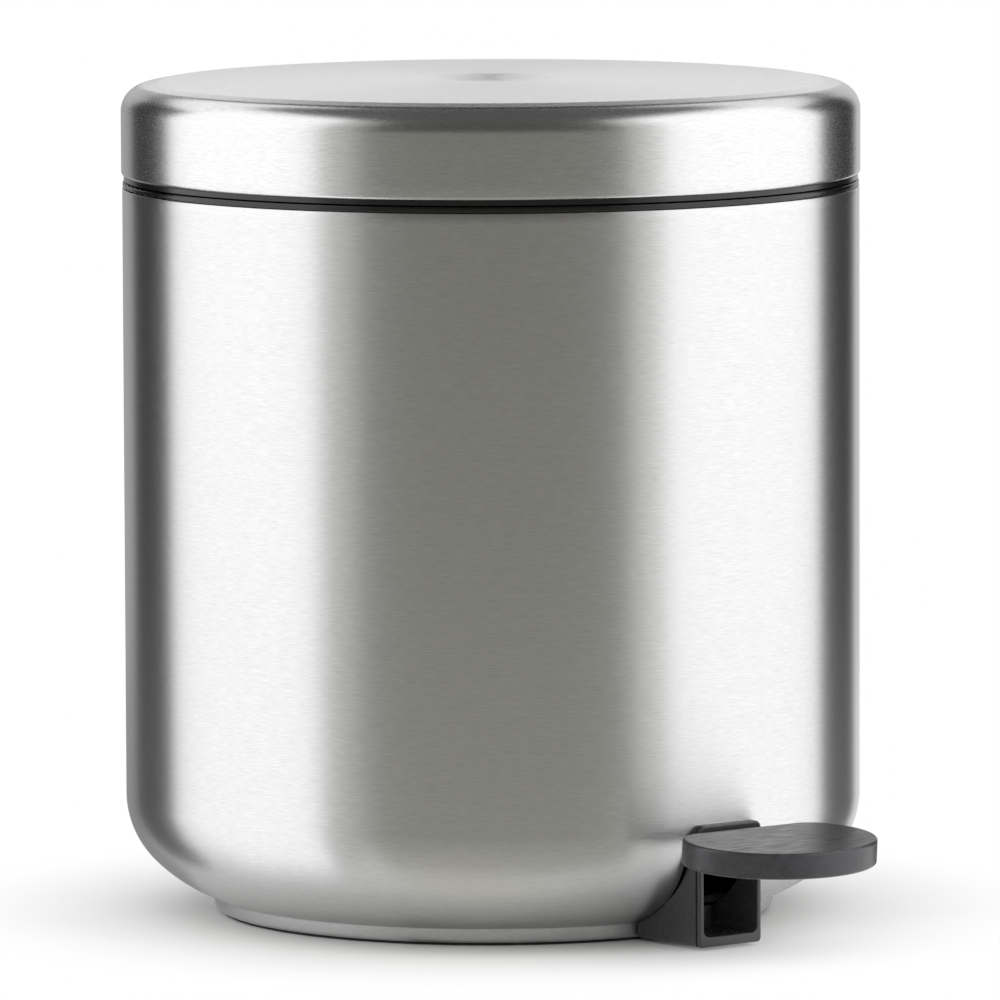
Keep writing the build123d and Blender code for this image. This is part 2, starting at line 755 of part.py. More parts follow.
# Pedal lever: bent strip with two ears round the axle
tongue_drop = pad_thick - lever_thick / 2
tongue_end = pad_plane.from_local_coords(Vector(0, -tongue_length, -tongue_drop))
tongue_root = pad_plane.from_local_coords(Vector(0, pad_gap + housing_reach, -tongue_drop))
lever_line = [
    (tongue_end.Y, tongue_end.Z),
    (tongue_root.Y, tongue_root.Z),
    (pivot_y - lever_flat, strip_z),
    (pivot_y + lever_flat, strip_z),
    (climb_start, rear_low),
    (tip_start, tip_z),
    (tip_y, tip_z),
]
ear_hull = side_hull(
    (pivot_y, pivot_z, ear_radius),
    (pivot_y - lever_flat + lever_thick / 2, strip_z, lever_thick / 4),
    (pivot_y + lever_flat - lever_thick / 2, strip_z, lever_thick / 4),
)
with BuildPart() as pedal_lever:
    with BuildSketch(Plane.YZ):
        with BuildLine():
            FilletPolyline(*lever_line, radius=lever_bend)
        trace(line_width=lever_thick)
    extrude(amount=lever_width / 2, both=True)
    corners = pedal_lever.edges().filter_by(Axis.Z).group_by(Axis.Y)[-1]
    fillet(corners, lever_width / 4)
    extrude(ear_hull, amount=lever_width / 2, both=True)
    with Locations((0, pivot_y, strip_z - lever_thick / 2)):
        Box(
            2 * ear_inner,
            4 * ear_radius,
            4 * ear_radius,
            align=(Align.CENTER, Align.CENTER, Align.MAX),
            mode=Mode.SUBTRACT,
        )
    with Locations(Location((0, pivot_y, pivot_z), (0, 90, 0))):
        Cylinder(pivot_radius + bush_wall + fit, 2 * lever_width, mode=Mode.SUBTRACT)
    with BuildSketch(pad_plane):
        with Locations((0, -pad_screw_first), (0, -pad_screw_first - pad_screw_pitch)):
            Circle(screw_radius + fit)
    extrude(amount=-2 * pad_thick, mode=Mode.SUBTRACT)
write(pedal_lever.part, "pedal_lever")

# Bushes in the lever's ears, each with a flange outside
with BuildPart() as pivot_bushes:
    with Locations(Location((0, pivot_y, pivot_z), (0, 90, 0))):
        Cylinder(pivot_radius + bush_wall, lever_width + bush_flange)
        Cylinder(bush_flange_radius, lever_width + 2 * bush_flange)
        Cylinder(
            2 * bush_flange_radius, lever_width + 2 * fit, mode=Mode.SUBTRACT
        )
        Cylinder(pivot_radius + bush_wall, lever_width + bush_flange)
        Cylinder(2 * bush_flange_radius, 2 * ear_inner, mode=Mode.SUBTRACT)
        Cylinder(pivot_radius + running, 2 * lever_width, mode=Mode.SUBTRACT)
write(pivot_bushes.part, "pivot_bushes")

# Pedal pad: D-shaped disc, hollow below on both sides of the lever's tongue
with BuildSketch(pad_plane) as pad_outline:
    with Locations((0, -pad_rear_cut)):
        Ellipse(pad_half_width, pad_half_length)
    Rectangle(
        4 * pad_half_width, pad_half_length, align=(Align.CENTER, Align.MIN), mode=Mode.SUBTRACT
    )
    fillet(pad_outline.vertices().group_by(Axis.Y)[-1], pad_corner)
rib_span = tongue_wall + lever_width / 2
with BuildSketch(pad_plane.offset(-pad_thick)) as pad_hollow:
    with Locations((0, -pad_rear_cut)):
        Ellipse(pad_half_width - pad_wall, pad_half_length - pad_wall)
    with Locations((0, -pad_wall)):
        Rectangle(
            4 * pad_half_width, pad_half_length, align=(Align.CENTER, Align.MIN), mode=Mode.SUBTRACT
        )
    Rectangle(2 * rib_span, 4 * pad_half_length, mode=Mode.SUBTRACT)
    with Locations((0, -pad_rear_cut)):
        with GridLocations(0, pad_rib_pitch, 1, 2):
            Rectangle(4 * pad_half_width, pad_rib, mode=Mode.SUBTRACT)
with BuildPart() as pedal_pad:
    extrude(pad_outline.sketch, amount=-pad_thick)
    rims = pedal_pad.faces().sort_by(SortBy.AREA)[-2:]
    fillet(rims.edges(), pad_edge_radius)
    extrude(pad_hollow.sketch, amount=pad_thick - pad_skin, mode=Mode.SUBTRACT)
    with BuildSketch(pad_plane.offset(-pad_thick)):
        Rectangle(
            lever_width + 2 * fit,
            2 * (tongue_length + fit),
        )
    extrude(amount=lever_thick + fit, mode=Mode.SUBTRACT)
    with BuildSketch(pad_plane.offset(-pad_thick)):
        with Locations((0, -pad_screw_first), (0, -pad_screw_first - pad_screw_pitch)):
            Circle(screw_radius + fit)
    extrude(amount=pad_thick - pad_skin / 2, mode=Mode.SUBTRACT)
write(pedal_pad.part, "pedal_pad")

# Pad screws, from below
pad_screw_planes = [
    pad_plane.offset(-pad_thick - screw_head_height).shift_origin(
        pad_plane.offset(-pad_thick - screw_head_height).from_local_coords(Vector(0, -reach, 0))
    )
    for reach in (pad_screw_first, pad_screw_first + pad_screw_pitch)
]
pad_screw_length = screw_head_height + pad_thick - pad_skin / 2 - fit
write(screws_on(*pad_screw_planes, length=pad_screw_length), "pad_screws")

# Pedal housing: follows the rounded body, with the slot that the pedal moves in
around_body = body_region(-seat, lid_top)
slot_half_width = housing_width / 2 - housing_wall
slot_top = housing_top - housing_lintel
slot_low = housing_bottom + housing_rail
with BuildPart() as pedal_housing:
    with BuildSketch(Plane.XZ.offset(housing_face)) as housing_front:
        with Locations((0, housing_bottom)):
            Rectangle(housing_width, housing_top - housing_bottom, align=(Align.CENTER, Align.MIN))
        fillet(housing_front.vertices().group_by(Axis.Y)[-1], housing_round)
        fillet(housing_front.vertices().group_by(Axis.Y)[0], housing_foot_round)
    extrude(amount=-(housing_face - foot_radius + housing_round))
    fillet(pedal_housing.faces().sort_by(Axis.Y)[0].edges(), housing_edge)
    with BuildSketch(Plane.XZ.offset(housing_face - groove_start)):
        add(housing_front.sketch_local)
        offset(housing_front.sketch_local, amount=-groove_depth, mode=Mode.SUBTRACT)
    extrude(amount=-groove_width, mode=Mode.SUBTRACT)
    with BuildSketch(Plane.XZ.offset(housing_face)):
        with Locations((0, slot_low)):
            RectangleRounded(
                2 * slot_half_width, slot_top - slot_low, slot_round, align=(Align.CENTER, Align.MIN)
            )
    extrude(amount=-(housing_face - foot_radius - housing_back), mode=Mode.SUBTRACT)
    fillet(pedal_housing.faces().sort_by(Axis.Y)[0].inner_wires().edges(), slot_edge)
    with BuildSketch(Plane.XY.offset(housing_bottom)):
        with Locations((housing_screw_x, housing_screw_y), (-housing_screw_x, housing_screw_y)):
            Circle(boss_radius - fit)
    extrude(amount=slot_top - housing_bottom)
    # Hook behind the upper edge of the opening in the steel
    with BuildSketch(Plane.YZ.offset(-hook_width / 2)):
        with BuildLine():
            hook_y = -(body_radius + seat)
            hook_z = slot_top - window_margin - fit
            Polyline(
                (hook_y - hook_thick, slot_top + fit),
                (hook_y - hook_thick, hook_z - hook_thick),
                (hook_y + hook_thick + sheet, hook_z - hook_thick),
                (hook_y + hook_thick + sheet, hook_z + hook_lip),
                (hook_y + hook_thick / 2 + sheet, hook_z + hook_lip),
                (hook_y + hook_thick / 2 + sheet, hook_z),
                (hook_y, hook_z),
                (hook_y, slot_top + fit),
                close=True,
            )
        make_face()
    hook = extrude(amount=hook_width, mode=Mode.PRIVATE)
    revolve(around_body, axis=Axis.Z, mode=Mode.SUBTRACT)
    Cylinder(foot_radius + neck_round + seat, 4 * housing_top, mode=Mode.SUBTRACT)
    add(hook)
    with BuildSketch(Plane.XY):
        with Locations((housing_screw_x, housing_screw_y), (-housing_screw_x, housing_screw_y)):
            Circle(screw_radius + fit)
    extrude(amount=slot_top - hook_thick * 2, mode=Mode.SUBTRACT)
    with BuildSketch(Plane.XY):
        with Locations((housing_screw_x, housing_screw_y), (-housing_screw_x, housing_screw_y)):
            Circle(screw_head_radius + fit)
    extrude(amount=2 * housing_bottom + screw_head_height, mode=Mode.SUBTRACT)
write(pedal_housing.part, "pedal_housing")

# Housing screws, from below
housing_screw_planes = [
    Plane((x, housing_screw_y, 2 * housing_bottom)) for x in (housing_screw_x, -housing_screw_x)
]
write(screws_on(*housing_screw_planes, length=screw_length + screw_radius), "housing_screws")

# Inner bucket: tapered, hung by its flange, cut away at the rear for the crank
bucket_section = half_section(
    (0, bucket_floor),
    (bucket_bottom_radius, bucket_floor),
    (bucket_top_radius, shelf_top),
    (flange_radius, shelf_top),
    (flange_radius, flange_top),
    (bucket_top_radius - bucket_wall, flange_top),
    (bucket_bottom_radius - bucket_wall, bucket_floor + bucket_base),
    (0, bucket_floor + bucket_base),
)
with BuildPart() as inner_bucket:
    revolve(bucket_section, axis=Axis.Z)
    low_edges = inner_bucket.edges().filter_by(GeomType.CIRCLE).sort_by(Axis.Z)
    fillet(low_edges[1], bucket_corner - bucket_base)
    fillet(inner_bucket.edges().filter_by(GeomType.CIRCLE).sort_by(Axis.Z)[0], bucket_corner)
    fillet(inner_bucket.edges().filter_by(GeomType.CIRCLE).sort_by(SortBy.RADIUS)[-2:], rim_roll)
    with Locations((0, bucket_top_radius + fit, shelf_top)):
        Box(
            2 * slot_half + 4 * free,
            body_radius,
            4 * flange_thick,
            align=(Align.CENTER, Align.MIN, Align.CENTER),
            mode=Mode.SUBTRACT,
        )
    # Lugs for the bail
    for x in (lug_inner, -lug_outer):
        with BuildSketch(Plane.YZ.offset(x)) as lug:
            with Locations((0, flange_top - flange_thick / 2)):
                Rectangle(lug_length, lug_height + flange_thick / 2, align=(Align.CENTER, Align.MIN))
            fillet(lug.vertices().group_by(Axis.Y)[-1], lug_length / 3)
        extrude(amount=lug_thick)
    with Locations(Location((0, 0, bail_z), (0, 90, 0))):
        Cylinder(bail_radius + running, 4 * lug_outer, mode=Mode.SUBTRACT)
write(inner_bucket.part, "inner_bucket")

# Bail of the bucket: bent wire, laid down on the flange
with BuildPart() as bucket_handle:
    with BuildLine(Plane.XY.offset(bail_z)) as bail_line:
        right_pin = Line((lug_outer + free, 0), (bail_end, 0))
        right_bend = JernArc(right_pin @ 1, (-1, 0), bail_bend, 90)
        bow = CenterArc((0, -bail_bend), bail_arc, 0, -180)
        left_bend = JernArc(bow @ 1, (0, 1), bail_bend, 90)
        Line(left_bend @ 1, (-lug_outer - free, 0))
    with BuildSketch(Plane(right_pin @ 0, z_dir=right_pin % 0)):
        Circle(bail_radius)
    sweep()
write(bucket_handle.part, "bucket_handle")

print("hinge axis", (0, hinge_y, hinge_z), "opens", lid_opening)
print("pivot axis", (0, pivot_y, pivot_z), "travels", pedal_travel)
print("rod", (0, rod_y, foot_z), "lifts", rod_lift)
print("bail axis", (0, 0, bail_z), "bucket floor", bucket_floor, "bucket radius", bucket_top_radius)
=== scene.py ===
# %% [markdown]
# # A pedal trash can in brushed steel
# The can is a drawn steel body with a rounded bottom, a pressed steel lid, two black plastic rings
# in the seam between them, and a dark foot pad in front of a black housing. Its shape, sizes and
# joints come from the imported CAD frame. This lesson gives each surface its finish, and draws the two
# steel skins again as fine surfaces, because brushed steel shows every facet of a coarse mesh.

# %% Load the frame
import json
import math

import bpy
import numpy as np
from mathutils import Matrix, Vector


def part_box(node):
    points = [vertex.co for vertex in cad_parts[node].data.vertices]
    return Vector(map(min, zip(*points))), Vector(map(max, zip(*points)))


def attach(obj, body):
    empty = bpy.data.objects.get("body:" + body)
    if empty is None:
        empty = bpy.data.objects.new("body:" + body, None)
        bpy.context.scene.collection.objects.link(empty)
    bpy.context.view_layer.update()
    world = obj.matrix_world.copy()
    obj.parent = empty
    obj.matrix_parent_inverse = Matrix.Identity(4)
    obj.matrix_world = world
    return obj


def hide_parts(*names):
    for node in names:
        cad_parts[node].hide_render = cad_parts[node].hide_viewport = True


MM = 0.001  # the frame is in metres, and real sizes are easier to read in millimetres

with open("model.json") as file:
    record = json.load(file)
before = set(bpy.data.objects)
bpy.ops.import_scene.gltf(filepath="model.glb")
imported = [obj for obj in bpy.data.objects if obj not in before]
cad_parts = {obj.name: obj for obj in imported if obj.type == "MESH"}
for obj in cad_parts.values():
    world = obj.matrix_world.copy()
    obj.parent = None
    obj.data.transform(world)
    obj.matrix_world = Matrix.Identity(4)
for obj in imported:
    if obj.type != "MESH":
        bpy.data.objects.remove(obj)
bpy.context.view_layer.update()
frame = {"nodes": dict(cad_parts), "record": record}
nodes = frame["nodes"]
body_low, body_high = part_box("body_shell")
WALL_RADIUS = body_high.x

# %% [markdown]
# ## Camera
# The photograph was taken with a long lens from a little above the lid, so the can shows almost no
# perspective. The camera stands 3 m away, with the pedal turned to the right of the line of sight.
# A matrix made of the camera's own right, up and back directions says where it looks more plainly
# than three angles do.

# %% Camera
PEDAL_TURN = math.radians(38.0)  # from the line of sight to the pedal, which points to -Y
CAMERA_DISTANCE = 3.0
CAMERA_HEIGHT = 0.4257
CAMERA_PITCH = math.radians(5.976)
CAMERA_ROLL = math.radians(0.212)
FOCAL_PIXELS = 11081.5
IMAGE_PIXELS = 1000
AXIS_PIXEL = 491.97  # column of the picture that the lens points at
SENSOR_WIDTH = 36.0

away = Vector((math.sin(PEDAL_TURN), math.cos(PEDAL_TURN), 0))
right = Vector((math.cos(PEDAL_TURN), -math.sin(PEDAL_TURN), 0))
up = Vector((0, 0, 1))

view = away * math.cos(CAMERA_PITCH) - up * math.sin(CAMERA_PITCH)
lens_up = away * math.sin(CAMERA_PITCH) + up * math.cos(CAMERA_PITCH)
rolled_right = right * math.cos(CAMERA_ROLL) - lens_up * math.sin(CAMERA_ROLL)
rolled_up = right * math.sin(CAMERA_ROLL) + lens_up * math.cos(CAMERA_ROLL)

scene = bpy.context.scene
camera = bpy.data.objects.new("camera", bpy.data.cameras.new("camera"))
camera.data.sensor_width = SENSOR_WIDTH
camera.data.lens = SENSOR_WIDTH * FOCAL_PIXELS / IMAGE_PIXELS
camera.data.shift_x = 0.5 - AXIS_PIXEL / IMAGE_PIXELS
turn_to_world = Matrix((rolled_right, rolled_up, -view)).transposed().to_4x4()
camera.matrix_world = Matrix.Translation(up * CAMERA_HEIGHT - away * CAMERA_DISTANCE) @ turn_to_world
scene.collection.objects.link(camera)
scene.camera = camera
scene.view_settings.view_transform = "Standard"
print(f"camera at {[round(x, 3) for x in camera.location]}, lens {camera.data.lens:.0f} mm")

# %% [markdown]
# ## One function for nodes, one for colours
# A finish is a small graph of nodes. One function adds a node with its settings, and another fills
# the inputs of a node, each with a value or with a link from another node's output. Colours are
# written as sRGB hex values, as a paint chart gives them, and turned to the linear values that the
# renderer works with.

# %% Helpers for finishes
def to_linear(hex_colour):
    """sRGB hex to linear RGBA: the sRGB curve undone for each channel."""
    channels = np.array([int(hex_colour[i : i + 2], 16) for i in (1, 3, 5)]) / 255
    linear = np.where(channels <= 0.04045, channels / 12.92, ((channels + 0.055) / 1.055) ** 2.4)
    return (*linear.tolist(), 1.0)


def connect(tree, node, inputs):
    """Fill inputs by name. A socket is linked, any other value is set."""
    for name, value in inputs.items():
        if isinstance(value, bpy.types.NodeSocket):
            tree.links.new(value, node.inputs[name])
        else:
            node.inputs[name].default_value = value


def add_node(tree, kind, inputs=None, **settings):
    """Add a node, set its properties and fill its inputs."""
    made = tree.nodes.new(kind)
    for name, value in settings.items():
        setattr(made, name, value)
    connect(tree, made, inputs or {})
    return made


def new_finish(name, inputs):
    """A material whose Principled shader has these plain inputs."""
    material = bpy.data.materials.new(name)
    material.use_nodes = True
    shader = material.node_tree.nodes["Principled BSDF"]
    connect(material.node_tree, shader, inputs)
    return material, material.node_tree, shader


def per_metre(size_mm):
    """Noise scale whose grains are size_mm across."""
    return 1 / (size_mm * MM)


print("mid grey is", [round(c, 3) for c in to_linear("#808080")])

# %% [markdown]
# ## Soft boxes
# Brushed steel is only as good as what it reflects. Two tall soft boxes stand left and right of the
# can and give the wall its two bright bands. Their edges are the edges of the bands, so their angles
# were read off the photograph. A lamp's energy is its brightness times its area and pi, so a box
# keeps its look when its size changes.

# %% Soft boxes
# A stand is a turn round the can in degrees, a distance from its axis and a width, both in metres.
LEFT_BOX = (-84.1, 1.0, 1.216)
RIGHT_BOX = (86.25, 1.0, 1.336)
BOX_MIDDLE = 0.72
BOX_LENGTH = 1.4
BOX_BRIGHTNESS = 0.68


def around(turn, distance, height):
    """The place at an angle round the can, from the camera's side towards the right of the picture."""
    return Matrix.Rotation(math.radians(turn), 3, "Z") @ -away * distance + up * height


def soft_box(name, stand):
    """An upright rectangular lamp on a stand, facing the can's axis."""
    turn, distance, width = stand
    lamp = bpy.data.lights.new(name, "AREA")
    lamp.shape = "RECTANGLE"
    lamp.size, lamp.size_y = width, BOX_LENGTH
    lamp.energy = BOX_BRIGHTNESS * math.pi * width * BOX_LENGTH
    made = bpy.data.objects.new(name, lamp)
    facing = around(turn, -1, 0).to_track_quat("-Z", "Y").to_matrix().to_4x4()
    made.matrix_world = Matrix.Translation(around(turn, distance, BOX_MIDDLE)) @ facing
    made.visible_camera = False
    scene.collection.objects.link(made)
    print(f"{name}: {width} m x {BOX_LENGTH} m, {lamp.energy:.1f} W")


soft_box("left_box", LEFT_BOX)
soft_box("right_box", RIGHT_BOX)

# %% [markdown]
# ## Cards for the reflections
# Everything else that the steel mirrors is a card. Each one glows with its own grey and is seen in
# reflections only, so it lights nothing and throws no shadow, and each part of the steel can be given
# its tone by itself. Painting the tones on the steel would be easier, but they would stay in place
# when the can turns. A card can fade out at its edges, because a hard edge shows as a line.

# %% A card
def card(name, corners, grey, brightness=1.0, fade=0.0):
    """A flat card that only reflections see.

    A fade is for a card with four corners, from the near left one round. It is the share of its width
    at each side, and of its length at the near end, over which it turns from clear to solid.
    """
    mesh = bpy.data.meshes.new(name)
    mesh.from_pydata(corners, [], [range(len(corners))])
    material, tree = new_finish(name, {})[:2]
    glow = add_node(tree, "ShaderNodeEmission", {"Color": to_linear(grey), "Strength": brightness})
    surface = glow.outputs["Emission"]
    if fade:
        mesh.uv_layers.new(name="card").uv.foreach_set("vector", np.float32([0, 0, 0, 1, 1, 1, 1, 0]))
        own = add_node(tree, "ShaderNodeUVMap", uv_map="card")
        share = add_node(tree, "ShaderNodeSeparateXYZ", {"Vector": own.outputs["UV"]})
        side = add_node(tree, "ShaderNodeMath", {0: share.outputs["X"], 1: 0.5}, operation="SUBTRACT")
        side = add_node(tree, "ShaderNodeMath", {0: side.outputs["Value"]}, operation="ABSOLUTE")
        rise = {"From Min": 0.5, "From Max": 0.5 - fade, "Value": side.outputs["Value"]}
        across = add_node(tree, "ShaderNodeMapRange", rise, interpolation_type="SMOOTHSTEP")
        rise = {"From Max": fade, "Value": share.outputs["Y"]}
        along = add_node(tree, "ShaderNodeMapRange", rise, interpolation_type="SMOOTHSTEP")
        ends = {0: across.outputs["Result"], 1: along.outputs["Result"]}
        solid = add_node(tree, "ShaderNodeMath", ends, operation="MULTIPLY")
        clear = add_node(tree, "ShaderNodeBsdfTransparent")
        mixed = {"Fac": solid.outputs["Value"], 1: clear.outputs["BSDF"], 2: surface}
        surface = add_node(tree, "ShaderNodeMixShader", mixed).outputs["Shader"]
    connect(tree, tree.nodes["Material Output"], {"Surface": surface})
    mesh.materials.append(material)
    made = bpy.data.objects.new(name, mesh)
    made.visible_camera = made.visible_diffuse = made.visible_shadow = False
    scene.collection.objects.link(made)
    print(f"{name}: {grey} at {brightness}")


print("the palest and the darkest card glow at", [round(to_linear(c)[0], 3) for c in ("#ffffff", "#222222")])

# %% [markdown]
# ## Standing cards and aprons
# The wall also looks down on the floor, so most cards have an apron: a tail on the floor that runs
# from the card to the can. An edge on the floor looks upright in a round wall only if it runs to the
# point of the wall that mirrors it. So an apron starts there, and carries on the card's own edges.

# %% Standing cards and aprons
def upright(name, stand, low, high, grey, brightness=1.0):
    """An upright card on a stand, between two heights, facing the can's axis."""
    turn, distance, width = stand
    side = around(turn + 90, width / 2, 0)
    foot, head = around(turn, distance, low), around(turn, distance, high)
    card(name, [foot - side, head - side, head + side, foot + side], grey, brightness)


def mirrored(place):
    """The point of the wall, seen from above, that mirrors a place to the camera.

    The wall's normal there halves the angle between the camera and the place. That angle depends on
    the point itself, so a few rounds find it.
    """
    point = Vector((0, 0, 0))
    for _ in range(5):
        point = ((place - point).normalized() - away).normalized() * WALL_RADIUS
    return point


def apron(name, stand, grey, brightness=1.0, near=0.0, far=1.0, fade=0.03, lift_mm=0.5):
    """A card on the floor, between two shares of the way from the wall to a stand.

    Each of its sides starts at the wall where that mirrors the edge of a card on the stand, so that
    the edges of both look like one line in the steel. A share below 0 lies under the can. The near
    end is the one that fades, and it may lie further out than the far end.
    """
    turn, distance, width = stand
    side = around(turn + 90, width / 2, 0)
    foot = around(turn, distance, 0)
    lift = up * lift_mm * MM
    ways = [(mirrored(end) + lift, end + lift) for end in (foot - side, foot + side)]
    (a, b), (c, d) = [[start.lerp(end, share) for share in (near, far)] for start, end in ways]
    card(name, [a, b, d, c], grey, brightness, fade)


straight_ahead = around(0, CAMERA_DISTANCE, 0)
print("what lies straight ahead is mirrored at", [round(x / MM, 1) for x in mirrored(straight_ahead)])

# %% [markdown]
# ## Cards in front and beside the can
# A wide grey card on the camera's side, darker above eye level, gives the darker middle of the wall.
# Its aprons get paler towards the can, and palest just in front of the foot, where the rounded bottom
# mirrors them. Under the can a dark one stands for the shadow there. Pale cards fill the gaps between
# the grey card and the soft boxes, so that the bands begin softly.

# %% Cards in front and beside the can
FRONT = (0.6, 1.5, 2.655)
FRONT_FLOOR = (0.6, 1.5, 2.955)  # wider, because an apron fades at its sides
FOOT_FLOOR = (0, 1.5, 2.9)
TOE_FLOOR = (0, 1.5, 5.0)
LEFT_GAP = (-47, 1.55, 0.36)
RIGHT_GAP = (47.5, 1.55, 0.32)
EYE_LEVEL = 0.45
FRONT_TOP = 2.4

upright("front_card", FRONT, 0, EYE_LEVEL, "#8a8983")
upright("high_front_card", FRONT, EYE_LEVEL, FRONT_TOP, "#5a5954")
apron("front_apron", FRONT_FLOOR, "#a2a19b", near=0.25)
apron("front_near_apron", FRONT_FLOOR, "#b2b1aa", near=0.01, far=0.3)
apron("front_foot_apron", FOOT_FLOOR, "#dcdbd0", near=0.045, far=0.0, fade=0.4)
# painted shadow: a dark card, seen only in reflections, for the can's contact shadow on the floor at its toe
apron("front_toe_shadow_apron", TOE_FLOOR, "#403f3b", near=-0.006, far=-0.0175, fade=0.45, lift_mm=0.4)
apron("left_apron", LEFT_BOX, "#ffffff", 1.5)
apron("right_apron", RIGHT_BOX, "#ffffff", 1.5)
for name, stand, grey in (("left_gap", LEFT_GAP, "#d2d2d0"), ("right_gap", RIGHT_GAP, "#ececea")):
    upright(f"{name}_card", stand, 0, FRONT_TOP, grey)
    apron(f"{name}_apron", stand, grey, lift_mm=0.3)

# %% [markdown]
# ## Cards behind and above the can
# Two black flags behind the boxes give the dark lines just inside the outline, and pale wings above
# them light the lid's rounded edge on both sides. Low cards close behind the can give its outline a
# thin pale rim. The lid's top is seen at a flat angle, so it mirrors the pale cards far at the back,
# while the dark ones above them and overhead give its rounded edge a dark line in front.

# %% Cards behind and above the can
LEFT_FLAG = (-131.7, 1.1, 0.643)
RIGHT_FLAG = (136, 1.1, 0.63)
LOW_BACK = (194.5, 0.56, 0.52)
LOW_RIGHT = (160, 0.56, 0.197)
BACK = (180, 1.8, 0.5)
FLAG_TOP = 0.78
WING_HEIGHTS = (0.89, 2.0)
LOW_BACK_TOP = 0.25
BACK_MIDDLE = 0.5
BACK_TOP = 0.95
BACK_FLAG_FOOT = 0.87
BACK_FLAG_TOP = 2.6
CEILING_HEIGHT = 1.7
CEILING_SHIFT = 0.4  # towards the camera
CEILING_HALF = (1.0, 1.5)  # across the picture and along the line of sight

for name, stand, grey, near_grey in (
    ("left_flag", LEFT_FLAG, "#4a4a4a", "#5e5e5e"),
    ("right_flag", RIGHT_FLAG, "#444444", "#707070"),
):
    upright(name, stand, 0, FLAG_TOP, "#222222")
    apron(f"{name}_apron", stand, grey, near=0.5)
    apron(f"{name}_near_apron", stand, near_grey, far=0.51)
upright("left_wing_card", (-141, 1.25, 1.1), *WING_HEIGHTS, "#ffffff", 1.4)
upright("right_wing_card", (142, 1.25, 1.05), *WING_HEIGHTS, "#ffffff", 1.25)
upright("low_back_card", LOW_BACK, 0, LOW_BACK_TOP, "#b4b4b4")
apron("low_back_apron", LOW_BACK, "#9a9a9a")
upright("low_right_card", LOW_RIGHT, 0, LOW_BACK_TOP, "#e6e6e6")
upright("back_card", BACK, 0, BACK_MIDDLE, "#ffffff", 0.85)
upright("high_back_card", BACK, BACK_MIDDLE, BACK_TOP, "#ffffff", 1.35)
upright("left_back_card", (200, 1.85, 0.85), 0, BACK_FLAG_FOOT, "#ffffff", 0.6)
upright("right_back_card", (160, 1.85, 0.85), 0, BACK_FLAG_FOOT, "#ffffff", 0.75)
upright("back_flag", (180, 1.9, 3.0), BACK_FLAG_FOOT, BACK_FLAG_TOP, "#303030")
overhead = up * CEILING_HEIGHT - away * CEILING_SHIFT
aside, ahead = right * CEILING_HALF[0], away * CEILING_HALF[1]
ceiling = [overhead + aside * x + ahead * y for x, y in ((-1, -1), (1, -1), (1, 1), (-1, 1))]
card("ceiling_card", ceiling, "#606060")

# %% [markdown]
# ## Floor
# The floor is white paper. It keeps the can's soft shadow, and further out it fades to the plain
# white of the photograph's background, to the eye and in the steel's reflections. Light Path tells
# the material which kind of ray asks, so the floor itself lights nothing more than paper does.

# %% Floor
FLOOR_REACH = 6.0
FLOOR_FADE = (0.075, 0.16)  # the floor's shade fades out to white between these distances, in metres


def eye_or_mirror(tree):
    """1 for what the camera sees, straight or in a reflection or through glass, and 0 for light."""
    ray = add_node(tree, "ShaderNodeLightPath")
    seen = ray.outputs["Is Camera Ray"]
    for kind in ("Is Glossy Ray", "Is Transmission Ray"):
        either = add_node(tree, "ShaderNodeMath", {0: seen, 1: ray.outputs[kind]}, operation="MAXIMUM")
        seen = either.outputs["Value"]
    return seen


floor_mesh = bpy.data.meshes.new("floor")
reach = np.array([(-1, -1, 0), (1, -1, 0), (1, 1, 0), (-1, 1, 0)]) * FLOOR_REACH
floor_mesh.from_pydata(reach.tolist(), [], [(0, 1, 2, 3)])
floor = bpy.data.objects.new("floor", floor_mesh)
scene.collection.objects.link(floor)

# Uncoated paper: white without a shine, so that it shows the shadow and no reflection.
paper, tree, shader = new_finish(
    "white_paper", {"Base Color": to_linear("#f4f4f3"), "Roughness": 0.9, "Specular IOR Level": 0.1}
)
place = add_node(tree, "ShaderNodeTexCoord")
distance = add_node(tree, "ShaderNodeVectorMath", {0: place.outputs["Object"]}, operation="LENGTH")
fade = add_node(
    tree,
    "ShaderNodeMapRange",
    {"Value": distance.outputs["Value"], "From Min": FLOOR_FADE[0], "From Max": FLOOR_FADE[1]},
    interpolation_type="SMOOTHSTEP",
)
seen = add_node(
    tree, "ShaderNodeMath", {0: fade.outputs["Result"], 1: eye_or_mirror(tree)}, operation="MULTIPLY"
)
white = add_node(tree, "ShaderNodeEmission", {"Color": to_linear("#ffffff")})
mixed = add_node(
    tree,
    "ShaderNodeMixShader",
    {"Fac": seen.outputs["Value"], 1: shader.outputs["BSDF"], 2: white.outputs["Emission"]},
)
connect(tree, tree.nodes["Material Output"], {"Surface": mixed.outputs["Shader"]})
floor_mesh.materials.append(paper)
print(f"floor fades to white from {FLOOR_FADE[0]} m to {FLOOR_FADE[1]} m")

# %% [markdown]
# ## World
# The world is white to the eye and in reflections too. As a light it is a little darker, because it
# only has to fill the shadows softly.

# %% World
FILL = 0.9

world = bpy.data.worlds.new("studio")
world.use_nodes = True
tree = world.node_tree
strength = add_node(tree, "ShaderNodeMapRange", {"Value": eye_or_mirror(tree), "To Min": FILL})
connect(
    tree, tree.nodes["Background"], {"Color": to_linear("#ffffff"), "Strength": strength.outputs["Result"]}
)
scene.world = world
print(f"world: 1.0 to the eye, {FILL} as a light")

# %% [markdown]
# ## Streaks in brushed steel
# Both skins are stainless sheet brushed round the can: on the wall the scratches run level, and on
# the lid's top they run in rings. A picture of scratches could be wrapped round the can, but it would
# show a seam and blur close up. Noise has neither fault, if its grains are long round the axis and
# thin across it: the direction from the axis places a grain along the scratches, and the length
# along the profile, which the piece's own UV map holds, places it across them.

